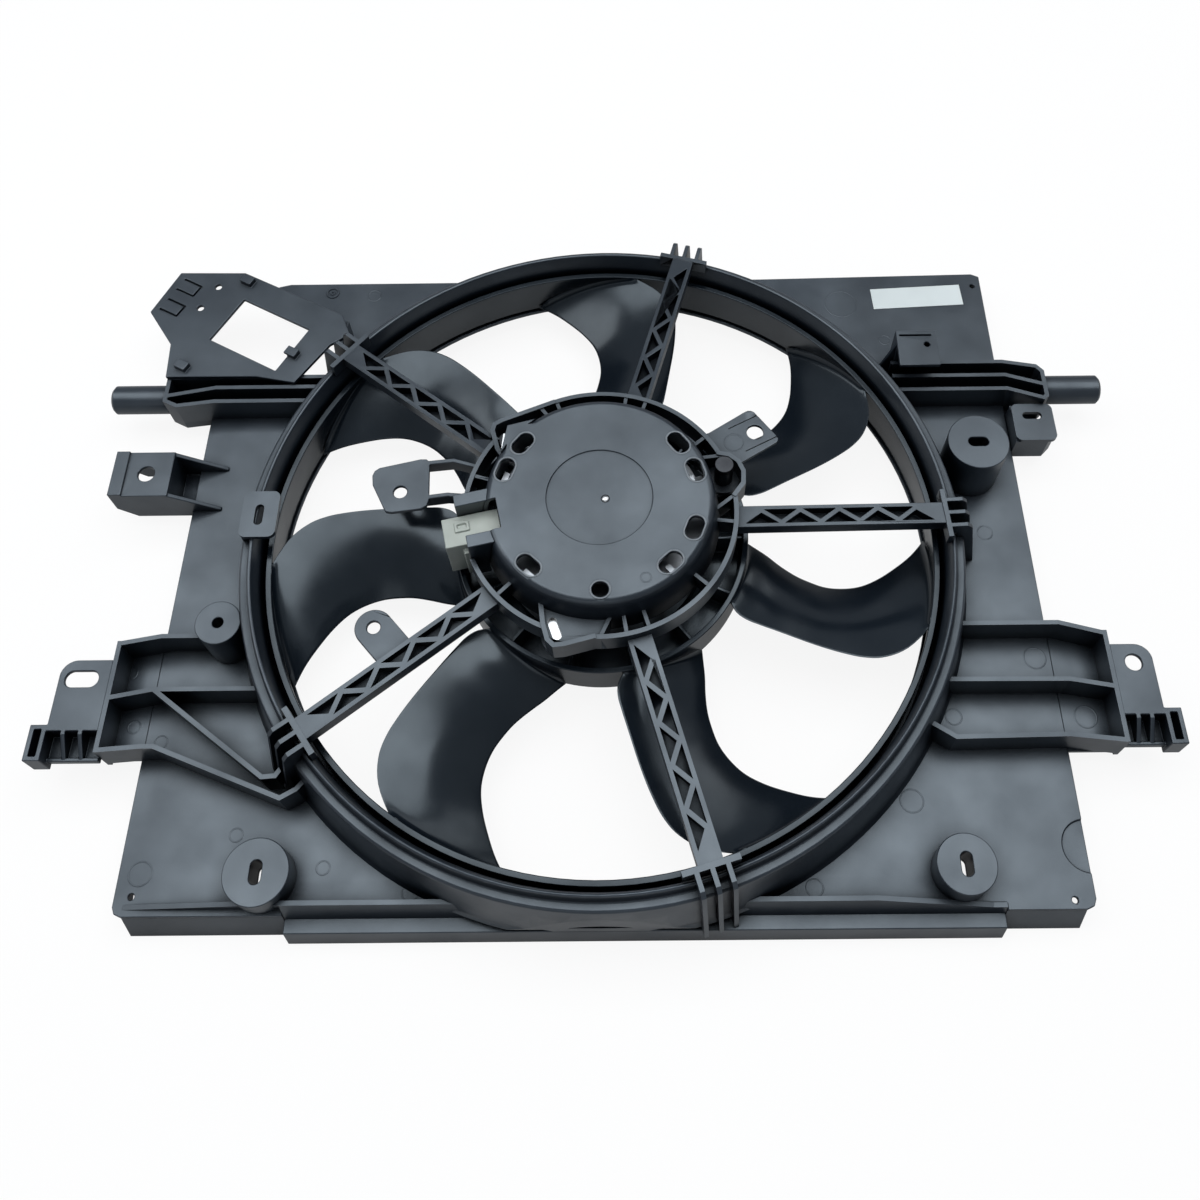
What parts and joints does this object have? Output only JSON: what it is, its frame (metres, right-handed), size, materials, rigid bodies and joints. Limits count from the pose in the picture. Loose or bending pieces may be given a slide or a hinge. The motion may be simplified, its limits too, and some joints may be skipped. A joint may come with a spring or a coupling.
{
  "type": "radiator fan",
  "caption": "Vehicle radiator fan: a square moulded shroud with a ring, stays and brackets, which carries a banded axial fan on a closed electric motor.",
  "frame": {"origin": "the fan's axis, in the plane of the shroud's lowest edge on the radiator side, below the middle of the bounding box", "axes": "+X to the right, along the line of the pegs; +Y away from the front lip; +Z along the fan's axis, from the radiator side to the motor side"},
  "size_m": [0.62, 0.4211, 0.096],
  "materials": {
    "black_moulding": "satin black glass-filled polypropylene",
    "fan_moulding": "smooth black polyamide",
    "motor_steel": "zinc-coated deep-drawn steel",
    "fastener_steel": "zinc-plated steel",
    "black_fastener": "black zinc-plated steel",
    "core_steel": "stacked steel laminations",
    "ferrite": "dull dark ferrite",
    "copper_wire": "enamelled copper wire",
    "copper_bars": "turned copper",
    "carbon": "dull carbon",
    "brown_moulding": "brown phenolic",
    "connector_moulding": "light warm grey polyamide",
    "tinned_brass": "tinned brass blades",
    "label_film": "blank white film"
  },
  "bodies": {
    "shroud": {"panel_left_half": "black_moulding", "panel_right_half": "black_moulding", "skirt_left": "black_moulding", "skirt_right": "black_moulding", "skirt_rear": "black_moulding", "front_wall": "black_moulding", "front_lip": "black_moulding", "fan_ring": "black_moulding", "ring_ear": "black_moulding", "stay_top": "black_moulding", "stay_right": "black_moulding", "stay_bottom": "black_moulding", "stay_lower_left": "black_moulding", "stay_upper_left": "black_moulding", "motor_carrier": "black_moulding", "motor_cover": "black_moulding", "connector_hood": "black_moulding", "tab_left": "black_moulding", "tab_right": "black_moulding", "tab_lower": "black_moulding", "beam_left": "black_moulding", "beam_right": "black_moulding", "relay_plate": "black_moulding", "box_bracket": "black_moulding", "slot_ear": "black_moulding", "side_bracket": "black_moulding", "lower_bracket_left": "black_moulding", "lower_bracket_right": "black_moulding", "flange_left": "black_moulding", "flange_right": "black_moulding", "boss_upper_right": "black_moulding", "boss_middle_left": "black_moulding", "boss_lower_right": "black_moulding", "boss_lower_left": "black_moulding", "label_plate": "label_film", "motor_can": "motor_steel", "motor_end_plate": "motor_steel", "motor_magnets": "ferrite", "bearing_front": "fastener_steel", "bearing_rear": "fastener_steel", "brush_holder": "brown_moulding", "brushes": "carbon", "motor_screws": "black_fastener", "connector_housing": "connector_moulding", "connector_pins": "tinned_brass"},
    "fan_rotor": {"fan_hub": "fan_moulding", "fan_blades": "fan_moulding", "fan_band": "fan_moulding", "fan_nut": "fastener_steel", "motor_shaft": "fastener_steel", "armature_core": "core_steel", "armature_winding": "copper_wire", "commutator": "copper_bars"}
  },
  "joints": [
    {"name": "fan_spin", "type": "hinge", "parent": "shroud", "child": "fan_rotor", "pos_m": [0, 0, 0.06], "axis": [0, 0, 1], "continuous": true}
  ]
}
